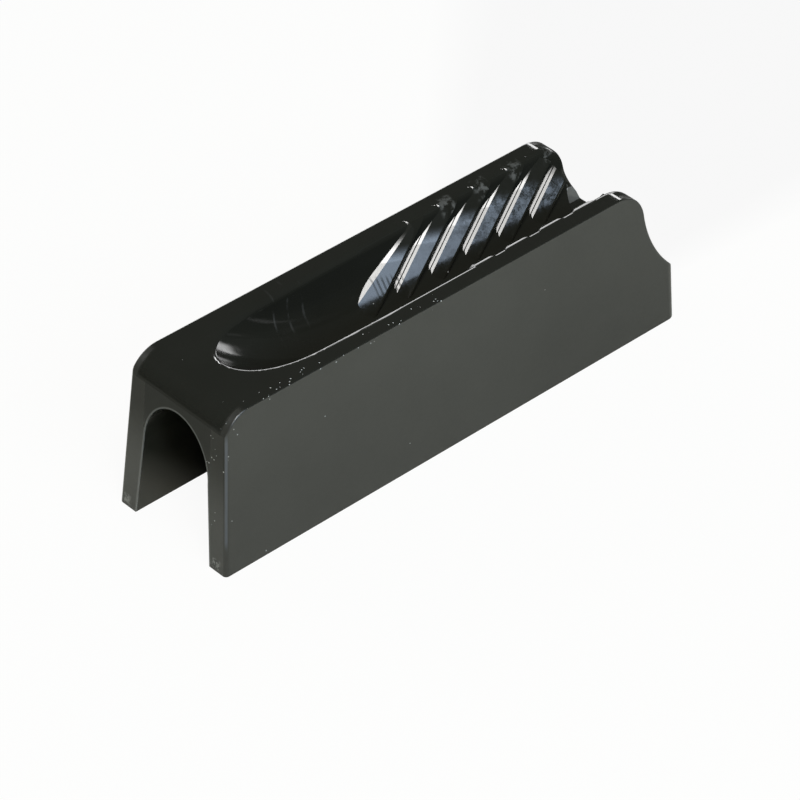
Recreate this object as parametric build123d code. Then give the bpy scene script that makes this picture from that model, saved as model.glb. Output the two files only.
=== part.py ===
from build123d import *
import math
import os

# Jam cleat moulded in one piece: an inverted channel with a rope groove along its top.
# X runs along the cleat from the lead end at -X to the horns at +X.
# Y runs across it, Z points up, and the origin is the middle of the footprint.
# All sizes are in millimetres and all angles in degrees.

# Outer block
length = 64.0               # footprint, from the front face to the rear face
width = 16.0                # footprint, across the two legs
height = 18.7               # flat top above the surface it stands on
draft = 3.4                 # lean of each outer face
front_corner = 0.45         # radius of the upright edges at the front
rear_corner = 1.2           # radius of the upright edges at the rear
top_edge = 0.2              # radius that takes the sharpness off the long top edges

# Front end of the top
front_round = 3.45          # radius that runs the top down into the front face
front_drop = 2.3            # how far below the top that round meets the front face

# Horns and lip at the rear
horn_radius = 4.25          # round of each horn, seen from the side
horn_setback = 5.25         # from the rear of the footprint to the tip of the horns
horn_turn = 80.0            # how far the horn turns before the hollow starts
lip_height = 6.4            # top of the upright rear face

# Rope groove
groove_nose = 6.6           # front of the groove, behind the front of the footprint
groove_run = 21.2           # length over which the floor comes down to full depth
groove_depth = 7.6          # full depth below the top
groove_bottom = 4.39        # radius across the floor
groove_wall = 4.0           # lean of each wall from upright
mouth_round = 0.8           # radius along the edge of the groove

# Gripping ribs on both walls of the groove
rib_count = 6
rib_pitch = 4.85            # spacing along the cleat
rib_overrun = 0.8           # how far the row runs past the rear, where its last root meets the top level
rib_angle = 41.5            # slope of the ribs, which rise towards the rear
rib_lean = 16.5             # lean of the row, which comes away from the wall towards the floor
rib_sunk = 0.25             # how far the front edge of each facet lies behind the wall, at the top
rib_facet = 30.0            # slope of the facet behind that edge
rib_crest = 0.45            # place of the crest, as a share of the spacing
rib_round = 0.35            # radius over the crest
rib_foot = 0.9              # height of the steep foot in front of each facet
rib_foot_angle = 47.0       # slope of that foot
ledge_drop = 0.22           # how far below the facet the foot is stepped, on all ribs but the first
ledge_width = 0.15          # width of that step
lead_angle = 38.0           # slope of the foot of the first rib
lead_shift = 0.45           # how far behind the first root its foot meets the top level
limit_lean = 26.0           # lean of the plane that cuts the crests back towards the mouth
limit_edge = 0.2            # how far that plane stands out of the wall, at the top
limit_round = 1.5           # radius that runs it into the flat top
limit_setback = 6.7         # from the rear of the footprint to the end of the crests
limit_turn = 4.6            # radius that runs them down to that end, ahead of the round of the horn

# Plain pocket at the rear end of the groove
pocket_length = 6.8         # from the rear of the footprint, at the floor
pocket_floor = 3.35         # half width at the floor
pocket_wall = 9.0           # lean of its walls from upright
pocket_lean = 27.0          # lean of its front, towards the rear

# Channel underneath
leg_foot = 2.45             # thickness of each leg at the base
channel_draft = 4.8         # lean of the inside of each leg
arch_spring = 9.5           # height at which the legs run into the arch
arch_rise = 5.9             # height of the arch above that
floor_wall = 2.3            # plastic between the groove and the channel
rear_wall = 2.4             # thickness of the wall that closes the rear

SPARE = 2.0                 # how far each cutting shape runs past what it cuts
CLOSE = 0.001               # how near the top an edge lies to count as level with it

front = -length / 2
rear = length / 2
floor = height - groove_depth


def lean(rise, angle):
    """How far a face that leans by an angle moves over a rise."""
    return rise * math.tan(math.radians(angle))


def outer_block():
    """The drafted block, with its upright edges rounded."""
    block = extrude(Rectangle(length, width), height, taper=draft)
    uprights = block.edges().filter_by(lambda edge: abs(edge.center().Z - height / 2) < height / 4)
    block = fillet(uprights.filter_by(lambda edge: edge.center().X > 0), rear_corner)
    uprights = block.edges().filter_by(lambda edge: abs(edge.center().Z - height / 2) < height / 4)
    return fillet(uprights.filter_by(lambda edge: edge.center().X < 0), front_corner)


def hollow_ends():
    """Where the hollow behind the horns starts and where it meets the rear face."""
    turn = math.radians(horn_turn)
    horn_x = rear - horn_setback - horn_radius
    horn_z = height - horn_radius
    start = (horn_x + horn_radius * math.sin(turn), horn_z + horn_radius * math.cos(turn))
    end = (rear - lean(lip_height, draft), lip_height)
    return start, end, (math.cos(turn), -math.sin(turn))


def side_prism():
    """The outline seen from the side, as wide as the block."""
    crease = height - front_drop
    crease_x = front + lean(crease, draft)
    reach = math.sqrt(front_round ** 2 - (front_round - front_drop) ** 2)
    horn_x = rear - horn_setback - horn_radius
    hollow_start, hollow_end, hollow_way = hollow_ends()
    front_middle = (crease_x + reach, height - front_round)
    crease_angle = 180 - math.degrees(math.asin((front_round - front_drop) / front_round))
    outline = [
        Polyline((rear + SPARE, lip_height), (rear + SPARE, -SPARE), (front - SPARE, -SPARE),
                 (front - SPARE, crease), (crease_x, crease)),
        CenterArc(front_middle, front_round, crease_angle, 90 - crease_angle),
        Line((front_middle[0], height), (horn_x, height)),
        CenterArc((horn_x, height - horn_radius), horn_radius, 90, -horn_turn),
        TangentArc(hollow_start, hollow_end, tangent=hollow_way),
        Line(hollow_end, (rear + SPARE, lip_height)),
    ]
    return extrude(Plane.XZ * make_face(outline), width, both=True)


def groove_section():
    """Half round floor and leaning walls, standing on the origin of its plane."""
    wall = math.radians(groove_wall)
    foot_y = groove_bottom * math.cos(wall)
    foot_z = groove_bottom * (1 - math.sin(wall))
    top_z = groove_depth + SPARE / 2
    top_y = foot_y + lean(top_z - foot_z, groove_wall)
    outline = [
        ThreePointArc((-foot_y, foot_z), (0, 0), (foot_y, foot_z)),
        Polyline((foot_y, foot_z), (top_y, top_z), (-top_y, top_z), (-foot_y, foot_z)),
    ]
    return make_face(outline)


def groove_sweep():
    """Radius of the floor where it comes down from the nose to full depth."""
    return (groove_run ** 2 + groove_depth ** 2) / (2 * groove_depth)


def plain_groove():
    """The groove without its ribs: a swept nose and a straight run to the rear."""
    level = front + groove_nose + groove_run
    section = Plane(origin=(level, 0, floor), x_dir=(0, 1, 0), z_dir=(1, 0, 0)) * groove_section()
    straight = extrude(section, rear + SPARE - level)
    radius = groove_sweep()
    over = math.degrees(math.acos((radius - groove_depth) / radius)) + SPARE
    axis = Axis((level, 0, floor + radius), (0, 1, 0))
    return straight + revolve(section, axis, over)


def rib_section():
    """Across the row: each rib has a stepped foot, a long facet, a round crest and a steep back."""
    spacing = rib_pitch * math.sin(math.radians(rib_angle))
    crest = (rib_crest * spacing, lean(rib_crest * spacing, rib_facet) - rib_sunk)
    step = ledge_drop / math.tan(math.radians(rib_foot_angle))
    valley = ledge_width + rib_foot / math.tan(math.radians(rib_foot_angle))
    outline = [(-spacing, -SPARE), (-spacing, -rib_sunk - lean(spacing, rib_facet)), crest]
    for number in range(1, rib_count):
        root = number * spacing
        outline += [(root - valley, -rib_sunk - rib_foot), (root - step - ledge_width, -rib_sunk - ledge_drop),
                    (root - step, -rib_sunk - ledge_drop), (root, -rib_sunk), (root + crest[0], crest[1])]
    end = rib_count * spacing - valley
    outline += [(end, -rib_sunk - rib_foot), (end, -SPARE), (-spacing, -SPARE)]
    face = make_face(Polyline(outline))
    crests = face.vertices().filter_by(lambda corner: corner.Y > crest[1] - CLOSE)
    return fillet(crests, rib_round)


def lead_section():
    """The space ahead of the foot of the first rib."""
    back = (SPARE + rib_sunk) / math.tan(math.radians(rib_foot_angle))
    low = (-(SPARE - rib_sunk) / math.tan(math.radians(rib_foot_angle)), -SPARE)
    return make_face(Polyline(low, (back, SPARE), (-rib_pitch, SPARE), (-rib_pitch, -SPARE), low))


def wall_top():
    """Half width of the plain groove where its walls would meet the flat top."""
    wall = math.radians(groove_wall)
    foot_z = groove_bottom * (1 - math.sin(wall))
    return groove_bottom * math.cos(wall) + lean(groove_depth - foot_z, groove_wall)


def across_ribs(slope, shift):
    """Plane across the ribs, looking down along them, through the first root moved by a shift."""
    slope = math.radians(slope)
    up = Vector(0, math.sin(math.radians(rib_lean)), math.cos(math.radians(rib_lean)))
    across = Vector(math.sin(slope), 0, 0) - up * math.cos(slope)
    falling = Vector(-math.cos(slope), 0, 0) - up * math.sin(slope)
    root = Vector(rear + rib_overrun - rib_count * rib_pitch + shift, wall_top(), height)
    return Plane(origin=root - falling * rib_count * rib_pitch, x_dir=across, z_dir=falling)


def rib_space():
    """The space that one row of ribs may fill, which rounds them off towards the mouth and the horn."""
    edge = wall_top() - limit_edge
    section = make_face(Polyline(
        (edge, height), (width / 2, height), (width / 2, floor), (edge - lean(height - floor, limit_lean), floor),
        (edge, height)))
    corner = section.vertices().sort_by_distance((edge, height, 0))[0]
    end = rear - limit_setback
    side = make_face(Polyline(
        (front, floor), (end, floor), (end, height), (front, height), (front, floor)))
    tip = side.vertices().sort_by_distance((end, height, 0))[0]
    space = extrude(Plane.YZ * fillet(corner, limit_round), length, both=True)
    return space & extrude(Plane.XZ * fillet(tip, limit_turn), width, both=True)


def ribs():
    """Both rows of ribs, one wall mirrored from the other."""
    run = rib_count * rib_pitch + 2 * groove_depth
    row = extrude(across_ribs(rib_angle, 0) * rib_section(), run)
    row -= extrude(across_ribs(lead_angle, lead_shift) * lead_section(), run)
    row &= rib_space()
    return row + mirror(row, Plane.XZ)


def rear_pocket():
    """Plain walls and a flat floor where the groove leaves between the horns."""
    tall = height - floor
    start = rear - pocket_length
    side = make_face(Polyline(
        (start, floor), (rear + SPARE, floor), (rear + SPARE, height + SPARE),
        (start + lean(tall + SPARE, pocket_lean), height + SPARE), (start, floor)))
    top = pocket_floor + lean(tall + SPARE, pocket_wall)
    section = make_face(Polyline(
        (-pocket_floor, floor), (pocket_floor, floor), (top, height + SPARE), (-top, height + SPARE),
        (-pocket_floor, floor)))
    bar = extrude(Plane.YZ * section, length, both=True)
    return bar & extrude(Plane.XZ * side, width, both=True)


def channel():
    """The space between the legs, open at the front and closed at the rear."""
    foot = width / 2 - leg_foot
    spring = foot - lean(arch_spring, channel_draft)
    section = make_face([
        Polyline((-spring, arch_spring), (-foot - lean(SPARE, channel_draft), -SPARE),
                 (foot + lean(SPARE, channel_draft), -SPARE), (spring, arch_spring)),
        EllipticalCenterArc((0, arch_spring), spring, arch_rise, start_angle=0, arc_size=180),
    ])
    level = front + groove_nose + groove_run
    radius = groove_sweep() + floor_wall
    hollow_start, hollow_end, hollow_way = hollow_ends()
    back = rear - rear_wall
    side = make_face(Polyline(
        (front - SPARE, -SPARE), (back + lean(SPARE, draft), -SPARE), (back - lean(height, draft), height),
        (front - SPARE, height), (front - SPARE, -SPARE)))
    side -= Pos(level, floor - floor_wall + radius) * Circle(radius)
    side -= Pos(level, floor - floor_wall) * Rectangle(length, height, align=(Align.MIN, Align.MIN))
    hollow = TangentArc(hollow_start, hollow_end, tangent=hollow_way)
    side -= Pos(hollow.arc_center.X, hollow.arc_center.Y) * Circle(hollow.radius + floor_wall)
    bar = extrude(Plane.YZ * section, length, both=True)
    return bar & extrude(Plane.XZ * side, width, both=True)


def round_outer_top(body):
    """Take the sharpness off the long edges between the sides and everything above them."""
    inner = width / 2 - lean(height, draft) - rear_corner / 2
    edges = body.edges().filter_by(lambda edge: abs(edge.center().Y) > inner)
    edges = edges.filter_by(lambda edge: edge.bounding_box().min.Z > lip_height - top_edge)
    edges = edges.filter_by(lambda edge: edge.bounding_box().size.X > rear_corner / 2)
    return fillet(edges, top_edge)


def round_mouth(body):
    """Round the edge where the plain groove comes out at the flat top."""
    inner = width / 2 - lean(height, draft) - 2 * top_edge
    level = body.edges().filter_by(lambda edge: edge.bounding_box().min.Z > height - CLOSE)
    edges = level.filter_by(lambda edge: edge.center().X > front + front_round + front_drop)
    return fillet(edges.filter_by(lambda edge: edge.bounding_box().max.Y < inner
                                  and edge.bounding_box().min.Y > -inner), mouth_round)


def cleat():
    """The whole moulding."""
    outside = outer_block() & side_prism()
    body = round_mouth(outside - plain_groove())
    body += ribs() & outside
    body -= channel()
    body -= rear_pocket()
    return round_outer_top(body)


if __name__ == "__main__":
    os.makedirs("parts", exist_ok=True)
    shape = cleat()
    export_step(shape, "parts/cleat_body.step")
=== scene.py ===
import math

import bpy
from mathutils import Matrix, Vector


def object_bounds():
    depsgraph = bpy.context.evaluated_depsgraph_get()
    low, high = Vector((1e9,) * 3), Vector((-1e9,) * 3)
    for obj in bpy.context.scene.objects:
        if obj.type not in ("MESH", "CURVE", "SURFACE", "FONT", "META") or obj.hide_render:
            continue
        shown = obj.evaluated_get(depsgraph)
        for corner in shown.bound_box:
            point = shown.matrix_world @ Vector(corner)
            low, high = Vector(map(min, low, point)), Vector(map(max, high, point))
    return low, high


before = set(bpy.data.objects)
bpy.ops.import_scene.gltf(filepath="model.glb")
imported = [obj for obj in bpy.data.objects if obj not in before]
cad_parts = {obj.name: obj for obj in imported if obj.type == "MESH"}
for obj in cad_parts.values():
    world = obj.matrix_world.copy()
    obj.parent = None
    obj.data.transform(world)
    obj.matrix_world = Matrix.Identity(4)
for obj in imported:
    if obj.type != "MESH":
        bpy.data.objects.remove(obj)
cad_low, cad_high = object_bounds()

scene = bpy.context.scene
scene.view_settings.view_transform = "Standard"

# The scene is in metres. The material works in millimetres, in the cleat's own frame.
MM = 0.001
FRONT = round(cad_low[0] / MM, 3)
REAR = round(cad_high[0] / MM, 3)
SIDE = round(cad_high[1] / MM, 3)
TOP = round(cad_high[2] / MM, 3)

# Forms of the moulding that its finish follows. A lean is the move across for each step up.
DRAFT_LEAN = math.tan(math.radians(3.4))
GROOVE_FLOOR = TOP - 7.6
GROOVE_HALF = 5.0
RIBS_START = -4.0
RIB_PITCH = 4.85
LEG_FOOT = 2.45
CHANNEL_HALF = SIDE - LEG_FOOT
CHANNEL_LEAN = math.tan(math.radians(4.8))
ARCH_SPRING = 9.5
ARCH_RISE = 5.9
ARCH_TOP = ARCH_SPRING + ARCH_RISE
POCKET_FRONT = REAR - 6.8
POCKET_LEAN = math.tan(math.radians(27.0))

# Camera: the angles in radians, the place in millimetres and the lens, fitted to the photograph.
YAW = 0.77521
PITCH = 0.67299
ROLL = -0.02979
CAMERA_AT = (-226.478, -230.077, 257.925)
FOCAL = 180.0
SENSOR = 36.0
CLIP_START = 0.01
CLIP_END = 20.0

# Soft boxes: the name, the direction from the cleat, the width and height in metres, the radiance and
# the colour. The side box shows in the rib facets, the top box in their feet, and the rear box on the horns.
BOX_DISTANCE = 0.8
BOXES = (
    ("side_box", (-0.09, -0.835, 0.54), 0.46, 0.30, 8.4, (0.64, 0.79, 1.0)),
    ("top_box", (-0.345, -0.41, 0.845), 0.28, 0.24, 24.0, (1.0, 0.99, 0.97)),
    ("fill_box", (-0.30, 0.85, 0.45), 0.40, 0.30, 3.0, (0.95, 0.97, 1.0)),
    ("rear_box", (0.75, 0.56, 0.385), 0.11, 0.10, 9.0, (1.0, 1.0, 1.0)),
)

# Bright patches low in the room: the direction of each, the cosines of the angle from it between which it
# comes up, and the heights, as the sine of elevation, between which it comes up.
PATCHES = (
    ((0.5, 0.866, 0.0), (0.90, 0.95), (0.33, 0.25)),
    ((0.98, 0.17, 0.0), (0.94, 0.965), (0.14, 0.08)),
)
ROOM_COLOUR = (0.055, 0.058, 0.055, 1.0)
PATCH_COLOUR = (4.0, 4.0, 4.0, 1.0)
WHITE = (1.0, 1.0, 1.0, 1.0)

# Floor: its size in metres, how far below the cleat it lies in millimetres, its two colours, the sector
# behind the cleat where it is painted dark as shade, and the share of plain white that the camera sees in
# it.
FLOOR_SIZE = 3.0
FLOOR_DROP = 0.01
FLOOR_PALE = (0.73, 0.725, 0.63, 1.0)
FLOOR_DARK = (0.10, 0.10, 0.095, 1.0)
DARK_SECTOR = (0.94, 0.342, 0.0)
DARK_SECTOR_EDGE = (0.91, 0.95)
FLOOR_GLOW = 0.93

# Colours of the plastic and of its chips, each from the darkest to the palest.
POLISHED_COLOURS = ((0.012, 0.0125, 0.0095, 1.0), (0.016, 0.0165, 0.013, 1.0))
# The palest satin colour is a painted sheen.
SATIN_AND_SHEEN_COLOURS = ((0.012, 0.012, 0.0095, 1.0), (0.031, 0.031, 0.0255, 1.0))
CHIP_COLOURS = ((0.004, 0.004, 0.004, 1.0), (0.22, 0.225, 0.21, 1.0))

# What is painted over the black: the colour, and the share of it where its mask is full.
# Painted highlight along the edge of the arch.
RIM_HIGHLIGHT_PAINT = ((0.16, 0.165, 0.155, 1.0), 0.8)
# Painted highlight down the near front corner.
CORNER_HIGHLIGHT_PAINT = ((0.09, 0.10, 0.115, 1.0), 0.5)
# Painted highlights on the crest tops.
CREST_GLINT_PAINT = ((0.20, 0.205, 0.19, 1.0), 0.4)
# Painted light on the pocket walls, and below it a painted highlight along their front edge.
POCKET_LIGHT_PAINT = ((0.15, 0.152, 0.142, 1.0), 0.85)
POCKET_EDGE_HIGHLIGHT_PAINT = ((0.45, 0.46, 0.44, 1.0), 0.8)
STREAK_PAINT = ((0.10, 0.10, 0.095, 1.0), 0.3)
DUST_PAINT = ((0.42, 0.43, 0.41, 1.0), 1.0)
CHIP_SHARE = 0.8

# Noise: its scale for each millimetre, its detail, and its roughness.
CLOUDS = (0.16, 3.0, 0.55)
GRAIN = (2.4, 4.0, 0.6)
SMUDGES = (1.1, 6.0, 0.62)
FINE_SMUDGES = (6.5, 3.0, 0.6)
# The next noise breaks up the painted highlights on the crest tops.
CREST_GLINT_NOISE = (1.3, 4.0, 0.55)
STREAK_BREAKS = (0.7, 2.0, 0.5)
CHIPS = (2.6, 3.0, 0.6)
SKIN = (7.0, 3.0, 0.6)
RIPPLE = (0.9, 2.0, 0.5)

# Wave bands: their scale for each millimetre and the scale of what bends them, then how much it bends
# them and its detail, which are the same for both.
BRUSH_BANDS = (0.65, 0.8)
STREAK_BANDS = (0.16, 1.4)
BAND_DISTORTION = 1.6
BAND_DETAIL = 2.0

# Places on the cleat: the centre, the half sizes and the distance over which the place fades out.
FRONT_CORNER = ((FRONT + 0.4, -SIDE + 0.7, 10.0), (1.0, 1.2, 5.6), 1.5)
BOWL = ((-12.6, 3.4, TOP - 2.5), (2.2, 1.6, 1.5), 1.5)
FIRST_FACET = ((0.2, 3.6, 13.5), (1.7, 1.3, 0.9), 0.6)
LEG_ENDS = (
    ((FRONT, -SIDE + 1.5, 0.9), (0.4, 0.25, 0.25), 0.5),
    ((FRONT, SIDE - 1.1, 0.9), (0.4, 0.25, 0.25), 0.5),
)
# Painted highlights on the crest tops: how many, the first one's centre, the half sizes and the fade.
CREST_GLINT_COUNT = 4
FIRST_CREST_GLINT = (9.4, 4.75, TOP - 0.5)
CREST_GLINT_HALF = (0.5, 0.5, 0.25)
CREST_GLINT_FADE = 0.7

# Where dust lies thickest, and the chance of a speck there: the near top edge, the near front corner of
# the top, and the front face on the near side.
DUST_PLACES = (
    (((-15.0, -SIDE + 1.5, TOP), (13.0, 0.45, 0.3), 0.4), 0.5),
    (((FRONT + 1.0, -SIDE + 1.6, TOP - 1.5), (1.0, 1.2, 1.3), 1.5), 0.4),
    (((FRONT + 0.3, -SIDE + 2.0, 8.0), (0.6, 1.8, 8.0), 1.0), 0.12),
)
DUST_ELSEWHERE = 0.002

# Specks: the cells for each millimetre, of which each may hold one speck, the radius of the largest speck
# as a share of a cell, and the smallest as a share of the largest.
DUST_CELLS = 2.4
DUST_RADIUS = 0.17
SMALLEST_SPECK = 0.6

# Finish: the roughness from the smoothest to the roughest grain, and the specular level, which rises
# towards the nose of the groove.
POLISHED_ROUGHNESS = (0.075, 0.12)
SATIN_ROUGHNESS = (0.30, 0.38)
TOPS_ROUGHNESS = 0.4
DUST_ROUGHNESS = 0.7
PLASTIC_IOR = 1.5
PLAIN_SHINE = 0.5
NOSE_SHINE = 0.08

# What smudges and brush marks take off the specular level, and the share of it that each dull place loses.
SMUDGE_LOSS = 0.24
FINE_SMUDGE_LOSS = 0.18
BRUSH_LOSS = 0.34
TOPS_LOSS = 0.98
UPPER_FRONT_LOSS = 0.8
CHANNEL_LOSS = 0.35

# Limits of the surface normal, from where a mask starts to where it is full.
FACING_FRONT = (-0.8, -0.95)
OFF_FRONT = (-0.8, -0.5)
ALONG_SIDE = (0.5, 0.3)
POCKET_WALL = (0.85, 0.95)
RIB_FOOT = (0.64, 0.68)

# Limits in millimetres behind an edge, or for the arch as a share of its size.
RIM_DEPTH = (0.16, 0.06)
RIM_REACH = (1.045, 1.02)
RIM_REACH_SHARE = 0.6
POCKET_BEHIND = (-0.02, 0.03)
POCKET_EDGE_WIDTH = (0.25, 0.12)

# Relief: the height of the whole in millimetres, and the share of the fine grain in it.
RELIEF = 0.0016
SKIN_SHARE = 0.5


def make_camera():
    """The camera at the photograph's place, turned by yaw, then pitch, then roll."""
    forward = Vector((math.sin(YAW) * math.cos(PITCH), math.cos(YAW) * math.cos(PITCH), -math.sin(PITCH)))
    right = Vector((math.cos(YAW), -math.sin(YAW), 0.0))
    down = forward.cross(right)
    image_right = math.cos(ROLL) * right + math.sin(ROLL) * down
    image_down = math.cos(ROLL) * down - math.sin(ROLL) * right
    data = bpy.data.cameras.new("camera")
    data.sensor_width = SENSOR
    data.lens = FOCAL
    data.clip_start = CLIP_START
    data.clip_end = CLIP_END
    camera = bpy.data.objects.new("camera", data)
    place = Matrix((image_right, -image_down, -forward)).transposed().to_4x4()
    place.translation = Vector(CAMERA_AT) * MM
    camera.matrix_world = place
    scene.collection.objects.link(camera)
    scene.camera = camera


def make_softbox(name, direction, width, height, radiance, colour):
    """A rectangular lamp that faces the cleat from the given direction."""
    data = bpy.data.lights.new(name, "AREA")
    data.shape = "RECTANGLE"
    data.size = width
    data.size_y = height
    data.energy = radiance * math.pi * width * height
    data.color = colour
    lamp = bpy.data.objects.new(name, data)
    away = Vector(direction).normalized()
    lamp.location = away * BOX_DISTANCE
    lamp.rotation_mode = "QUATERNION"
    lamp.rotation_quaternion = away.to_track_quat("Z", "Y")
    scene.collection.objects.link(lamp)


class Nodes:
    """Adds nodes to one tree. Each value given is a socket to link or a plain value to set."""

    def __init__(self, tree):
        self.tree = tree

    def give(self, socket, value):
        """Link or set one input."""
        if isinstance(value, bpy.types.NodeSocket):
            self.tree.links.new(value, socket)
        else:
            socket.default_value = value

    def add(self, kind, values=None, **settings):
        """A node with its settings and its inputs."""
        made = self.tree.nodes.new(kind)
        for name, value in settings.items():
            setattr(made, name, value)
        for socket, value in (values or {}).items():
            self.give(made.inputs[socket], value)
        return made

    def math(self, operation, first, second=0.0, clamp=False):
        """One sum on numbers."""
        made = self.add("ShaderNodeMath", {0: first, 1: second}, operation=operation, use_clamp=clamp)
        return made.outputs[0]

    def vector(self, operation, first, second=(0.0, 0.0, 0.0)):
        """One sum on vectors, of which the answer is a vector."""
        made = self.add("ShaderNodeVectorMath", {0: first, 1: second}, operation=operation)
        return made.outputs["Vector"]

    def plus(self, first, second):
        """The sum of two values."""
        return self.math("ADD", first, second)

    def minus(self, first, second):
        """The first value less the second."""
        return self.math("SUBTRACT", first, second)

    def times(self, *values):
        """The product of all values."""
        product = values[0]
        for value in values[1:]:
            product = self.math("MULTIPLY", product, value)
        return product

    def most(self, *values):
        """The greatest of all values."""
        greatest = values[0]
        for value in values[1:]:
            greatest = self.math("MAXIMUM", greatest, value)
        return greatest

    def without(self, mask, share=1.0):
        """One where the mask is none, and one less the share where the mask is full."""
        return self.minus(1.0, self.times(mask, share))

    def towards(self, direction, goal):
        """The cosine of the angle between two unit directions."""
        made = self.add("ShaderNodeVectorMath", {0: direction, 1: goal}, operation="DOT_PRODUCT")
        return made.outputs["Value"]

    def ramp(self, value, start, end, low=0.0, high=1.0, kind="SMOOTHSTEP"):
        """Goes from low to high while the value goes from start to end."""
        values = {"Value": value, "From Min": start, "From Max": end, "To Min": low, "To Max": high}
        return self.add("ShaderNodeMapRange", values, interpolation_type=kind).outputs["Result"]

    def blend(self, share, first, second):
        """Blends two numbers."""
        return self.add("ShaderNodeMix", {"Factor": share, 2: first, 3: second}).outputs[0]

    def mix(self, share, first, second):
        """Blends two colours."""
        return self.add("ShaderNodeMix", {"Factor": share, 6: first, 7: second}, data_type="RGBA").outputs[2]

    def layers(self, share, first, second):
        """Blends two surfaces."""
        return self.add("ShaderNodeMixShader", {0: share, 1: first, 2: second}).outputs[0]

    def camera_ray(self):
        """One where the camera looks straight at the surface, none in reflections and shadows."""
        return self.add("ShaderNodeLightPath").outputs["Is Camera Ray"]


def make_world():
    """A dim room with bright patches low down, which only reflections show. The camera sees white."""
    world = bpy.data.worlds.new("studio")
    scene.world = world
    world.use_nodes = True
    world.node_tree.nodes.clear()
    nodes = Nodes(world.node_tree)
    direction = nodes.add("ShaderNodeTexCoord").outputs["Generated"]
    level = nodes.add("ShaderNodeSeparateXYZ", {0: direction}).outputs["Z"]
    bright = 0.0
    for goal, sides, heights in PATCHES:
        facing = nodes.ramp(nodes.towards(direction, goal), *sides, kind="LINEAR")
        low_down = nodes.ramp(level, *heights, kind="LINEAR")
        bright = nodes.most(nodes.times(facing, low_down), bright)
    room = nodes.add("ShaderNodeBackground", {"Color": nodes.mix(bright, ROOM_COLOUR, PATCH_COLOUR)})
    backdrop = nodes.add("ShaderNodeBackground", {"Color": WHITE})
    seen = nodes.layers(nodes.camera_ray(), room.outputs[0], backdrop.outputs[0])
    nodes.add("ShaderNodeOutputWorld", {"Surface": seen})


def make_floor_paper():
    """Pale paper with painted shade in one sector, nearly white to the camera, and clear from below."""
    material = bpy.data.materials.new("white_floor")
    material.use_nodes = True
    material.node_tree.nodes.clear()
    nodes = Nodes(material.node_tree)
    bearing = nodes.vector("NORMALIZE", nodes.add("ShaderNodeTexCoord").outputs["Object"])
    # Painted shade: the paper is dark in the sector behind the cleat.
    shade = nodes.ramp(nodes.towards(bearing, DARK_SECTOR), *DARK_SECTOR_EDGE, kind="LINEAR")
    paper = nodes.add("ShaderNodeBsdfDiffuse", {"Color": nodes.mix(shade, FLOOR_PALE, FLOOR_DARK)})
    glow = nodes.add("ShaderNodeEmission", {"Color": WHITE, "Strength": 1.0})
    above = nodes.layers(nodes.times(nodes.camera_ray(), FLOOR_GLOW), paper.outputs[0], glow.outputs[0])
    clear = nodes.add("ShaderNodeBsdfTransparent").outputs[0]
    from_below = nodes.add("ShaderNodeNewGeometry").outputs["Backfacing"]
    nodes.add("ShaderNodeOutputMaterial", {"Surface": nodes.layers(from_below, above, clear)})
    return material


def make_floor():
    """A plain floor just under the cleat."""
    bpy.ops.mesh.primitive_plane_add(size=FLOOR_SIZE, location=(0.0, 0.0, -FLOOR_DROP * MM))
    floor = bpy.context.object
    floor.name = "floor"
    floor.data.materials.append(make_floor_paper())


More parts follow.
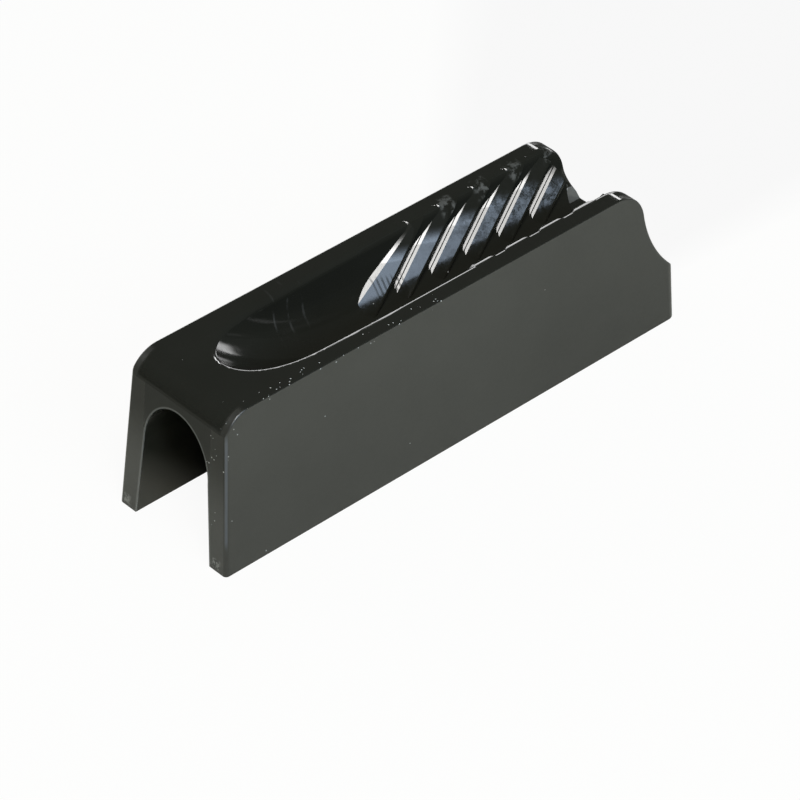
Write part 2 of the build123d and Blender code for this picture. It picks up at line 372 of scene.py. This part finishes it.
class Plastic(Nodes):
    """The moulding's node tree, in millimetres of the cleat's own frame, built up layer by layer."""

    def __init__(self, tree):
        super().__init__(tree)
        coordinates = self.add("ShaderNodeTexCoord").outputs
        self.place = self.add("ShaderNodeVectorMath", {0: coordinates["Object"], "Scale": 1.0 / MM},
                              operation="SCALE").outputs[0]
        self.x, self.y, self.z = self.parts(self.place)
        self.across = self.math("ABSOLUTE", self.y)
        self.normal_x, self.normal_y, self.normal_z = self.parts(coordinates["Normal"])

    def parts(self, vector):
        """The three parts of a vector."""
        return self.add("ShaderNodeSeparateXYZ", {0: vector}).outputs

    def zone(self, centre, half, fade):
        """One inside a box, none from the fade distance outside it."""
        away = self.vector("ABSOLUTE", self.vector("SUBTRACT", self.place, centre))
        outside = self.parts(self.vector("SUBTRACT", away, half))
        return self.ramp(self.most(*outside), fade, 0.0)

    def noise(self, scale, detail, roughness):
        """Cloudy noise."""
        values = {"Vector": self.place, "Scale": scale, "Detail": detail, "Roughness": roughness}
        return self.add("ShaderNodeTexNoise", values).outputs["Fac"]

    def bands(self, scale, detail_scale):
        """Wavy bands across the cleat."""
        values = {"Vector": self.place, "Scale": scale, "Distortion": BAND_DISTORTION,
                  "Detail": BAND_DETAIL, "Detail Scale": detail_scale}
        return self.add("ShaderNodeTexWave", values, bands_direction="X").outputs["Fac"]

    def specks(self, scale, radius, chance):
        """Round specks, more of them where the chance is higher."""
        cells = self.add("ShaderNodeTexVoronoi", {"Vector": self.place, "Scale": scale})
        draw = self.add("ShaderNodeSeparateColor", {0: cells.outputs["Color"]}).outputs[0]
        size = self.ramp(draw, 0.0, 1.0, radius, SMALLEST_SPECK * radius)
        near = self.math("LESS_THAN", cells.outputs["Distance"], size)
        return self.times(near, self.math("LESS_THAN", draw, chance))

    def paint(self, mask, colour, share):
        """Lay a colour over what is there."""
        self.colour = self.mix(self.times(mask, share), self.colour, colour)

    def find_masks(self):
        """Masks for the parts that differ in finish, each one on its part and none elsewhere."""
        self.groove = self.times(self.ramp(self.across, GROOVE_HALF, GROOVE_HALF - 0.3),
                                 self.ramp(self.z, GROOVE_FLOOR - 0.2, GROOVE_FLOOR + 0.1))
        self.front_face = self.ramp(self.normal_x, *FACING_FRONT)
        self.channel = self.times(self.ramp(self.across, CHANNEL_HALF + 0.2, CHANNEL_HALF + 0.1),
                                  self.ramp(self.z, ARCH_TOP + 0.5, ARCH_TOP + 0.3),
                                  self.ramp(self.normal_x, *OFF_FRONT),
                                  self.ramp(self.x, REAR - 1.8, REAR - 2.1))
        beside_mouth = self.times(self.ramp(self.across, SIDE - 2.1, SIDE - 1.7),
                                  self.ramp(self.z, TOP - 0.04, TOP - 0.2))
        below_top = self.most(beside_mouth, self.ramp(self.z, TOP - 2.1, TOP - 2.5))
        self.satin = self.times(below_top, self.without(self.groove), self.without(self.channel))
        self.ribbed = self.times(self.groove, self.ramp(self.x, RIBS_START, RIBS_START + 2.0))
        self.foot = self.ramp(self.normal_z, *RIB_FOOT)

    def lay_base(self):
        """Cloudy black, satin on the outer faces with a painted sheen that is paler upwards, and polished
        elsewhere.
        """
        clouds = self.noise(*CLOUDS)
        half_clouds = self.times(clouds, 0.5)
        # Painted sheen: the satin black gets paler upwards.
        half_height = self.ramp(self.z, 0.0, TOP - 0.7, 0.0, 0.5)
        paler = self.plus(half_clouds, half_height)
        polished_black = self.mix(clouds, *POLISHED_COLOURS)
        satin_and_sheen_black = self.mix(paler, *SATIN_AND_SHEEN_COLOURS)
        self.colour = self.mix(self.satin, polished_black, satin_and_sheen_black)
        grain = self.noise(*GRAIN)
        polished_rough = self.ramp(grain, 0.35, 0.65, *POLISHED_ROUGHNESS)
        satin_rough = self.ramp(grain, 0.3, 0.7, *SATIN_ROUGHNESS)
        self.rough = self.blend(self.satin, polished_rough, satin_rough)
        self.shine = self.plus(PLAIN_SHINE, self.ramp(self.x, 16.0, 2.0, 0.0, NOSE_SHINE))

    def lay_smudges(self):
        """Smudges on the rib facets, more of them towards the rear, and brush marks low on the first one."""
        smudges = self.times(self.ramp(self.noise(*SMUDGES), 0.40, 0.60), SMUDGE_LOSS)
        fine = self.times(self.ramp(self.noise(*FINE_SMUDGES), 0.3, 0.7), FINE_SMUDGE_LOSS)
        worn = self.times(self.ribbed, self.plus(smudges, fine), self.without(self.foot),
                          self.ramp(self.x, -2.0, 20.0, 0.0, 1.2))
        strokes = self.times(self.ramp(self.bands(*BRUSH_BANDS), 0.45, 0.8), self.zone(*FIRST_FACET))
        self.shine = self.minus(self.shine, self.plus(worn, self.times(strokes, BRUSH_LOSS)))

    def dull_tops(self):
        """Dull tops on the ribs, which start higher on the feet and lower towards the horns."""
        level = self.minus(self.z, self.times(self.foot, 0.9))
        level = self.plus(level, self.ramp(self.x, 18.0, 26.0, 0.0, 1.5))
        off_near_edge = self.most(self.ramp(self.z, TOP - 0.45, TOP - 0.65), self.ramp(self.y, 2.0, 3.0))
        tops = self.times(self.ribbed, self.ramp(level, TOP - 3.1, TOP - 1.6), off_near_edge)
        self.shine = self.math("MULTIPLY", self.shine, self.without(tops, TOPS_LOSS), clamp=True)
        self.rough = self.blend(tops, self.rough, TOPS_ROUGHNESS)

    def dull_front_and_channel(self):
        """The upper part of the front face and the inside of the channel mirror less of the room."""
        upper_front = self.times(self.front_face, self.ramp(self.z, 5.0, 14.0))
        self.shine = self.times(self.shine, self.without(upper_front, UPPER_FRONT_LOSS),
                                self.without(self.channel, CHANNEL_LOSS))

    def lay_rim_highlight(self):
        """A painted highlight: a pale rim where the channel opens in the front face."""
        behind_front = self.minus(self.minus(self.x, self.times(self.z, DRAFT_LEAN)), FRONT)
        within = self.times(self.channel, self.ramp(behind_front, *RIM_DEPTH))
        leg_rise = self.math("MINIMUM", self.z, ARCH_SPRING)
        half = self.minus(CHANNEL_HALF, self.times(leg_rise, CHANNEL_LEAN))
        beside = self.math("DIVIDE", self.across, half)
        over = self.math("DIVIDE", self.most(self.minus(self.z, ARCH_SPRING), 0.0), ARCH_RISE)
        arch = self.add("ShaderNodeCombineXYZ", {0: beside, 1: over}).outputs[0]
        reach = self.add("ShaderNodeVectorMath", {0: arch}, operation="LENGTH").outputs["Value"]
        around = self.times(self.front_face, self.ramp(reach, *RIM_REACH, 0.0, RIM_REACH_SHARE))
        self.paint(self.most(within, around), *RIM_HIGHLIGHT_PAINT)

    def lay_corner_highlight(self):
        """A painted highlight: a lighter strip down the rounded near front corner."""
        side_face = self.ramp(self.math("ABSOLUTE", self.normal_x), *ALONG_SIDE)
        between = self.without(self.most(self.front_face, side_face))
        self.paint(self.times(between, self.zone(*FRONT_CORNER)), *CORNER_HIGHLIGHT_PAINT)

    def lay_crest_glints(self):
        """Painted highlights: pale spots on the tops of the crests."""
        x, y, z = FIRST_CREST_GLINT
        centres = [(x + number * RIB_PITCH, y, z) for number in range(CREST_GLINT_COUNT)]
        spots = self.most(*[self.zone(centre, CREST_GLINT_HALF, CREST_GLINT_FADE) for centre in centres])
        self.paint(self.times(spots, self.ramp(self.noise(*CREST_GLINT_NOISE), 0.45, 0.62)), *CREST_GLINT_PAINT)

    def lay_pocket_light(self):
        """Painted light: paler walls in the pocket between the horns, with a painted highlight along their
        front edge.
        """
        pocket_start = POCKET_FRONT - GROOVE_FLOOR * POCKET_LEAN
        behind_edge = self.minus(self.minus(self.x, self.times(self.z, POCKET_LEAN)), pocket_start)
        walls = self.times(self.ramp(self.math("ABSOLUTE", self.normal_y), *POCKET_WALL),
                           self.ramp(behind_edge, *POCKET_BEHIND),
                           self.ramp(self.z, GROOVE_FLOOR - 0.1, GROOVE_FLOOR + 0.1),
                           self.ramp(self.across, SIDE - 1.8, SIDE - 2.0))
        self.paint(walls, *POCKET_LIGHT_PAINT)
        self.paint(self.times(walls, self.ramp(behind_edge, *POCKET_EDGE_WIDTH)), *POCKET_EDGE_HIGHLIGHT_PAINT)

    def lay_streaks(self):
        """Faint broken streaks across the bowl."""
        streaks = self.times(self.ramp(self.bands(*STREAK_BANDS), 0.93, 0.995), self.zone(*BOWL))
        self.paint(self.times(streaks, self.ramp(self.noise(*STREAK_BREAKS), 0.4, 0.7)), *STREAK_PAINT)

    def lay_dust(self):
        """Dust specks."""
        chances = [self.times(self.zone(*place), chance) for place, chance in DUST_PLACES]
        chance = self.plus(self.most(*chances), DUST_ELSEWHERE)
        dust = self.specks(DUST_CELLS, DUST_RADIUS, chance)
        self.paint(dust, *DUST_PAINT)
        self.rough = self.blend(dust, self.rough, DUST_ROUGHNESS)

    def lay_chips(self):
        """Small chips where the legs end at the front."""
        ends = self.most(*[self.zone(*place) for place in LEG_ENDS])
        chips = self.mix(self.ramp(self.noise(*CHIPS), 0.42, 0.60), *CHIP_COLOURS)
        self.paint(ends, chips, CHIP_SHARE)

    def relief(self):
        """A very shallow moulding ripple, with a fine grain on the satin faces."""
        grain = self.times(self.noise(*SKIN), self.satin, SKIN_SHARE)
        height = self.plus(self.noise(*RIPPLE), grain)
        values = {"Strength": 1.0, "Distance": RELIEF * MM, "Height": height}
        return self.add("ShaderNodeBump", values).outputs["Normal"]


def make_plastic():
    """Black moulded plastic: polished on top and in the groove, satin outside, worn, dusty and chipped, with
    painted sheen, highlights and light.
    """
    material = bpy.data.materials.new("moulded_black_plastic")
    material.use_nodes = True
    plastic = Plastic(material.node_tree)
    plastic.find_masks()
    plastic.lay_base()
    plastic.lay_smudges()
    plastic.dull_tops()
    plastic.dull_front_and_channel()
    plastic.lay_rim_highlight()
    plastic.lay_corner_highlight()
    plastic.lay_crest_glints()
    plastic.lay_pocket_light()
    plastic.lay_streaks()
    plastic.lay_dust()
    plastic.lay_chips()
    inputs = material.node_tree.nodes["Principled BSDF"].inputs
    plastic.give(inputs["Base Color"], plastic.colour)
    plastic.give(inputs["Roughness"], plastic.rough)
    plastic.give(inputs["Specular IOR Level"], plastic.shine)
    plastic.give(inputs["Normal"], plastic.relief())
    plastic.give(inputs["IOR"], PLASTIC_IOR)
    return material


make_camera()
for box in BOXES:
    make_softbox(*box)
make_world()
make_floor()
cleat_plastic = make_plastic()
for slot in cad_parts["cleat_body"].material_slots:
    slot.material = cleat_plastic
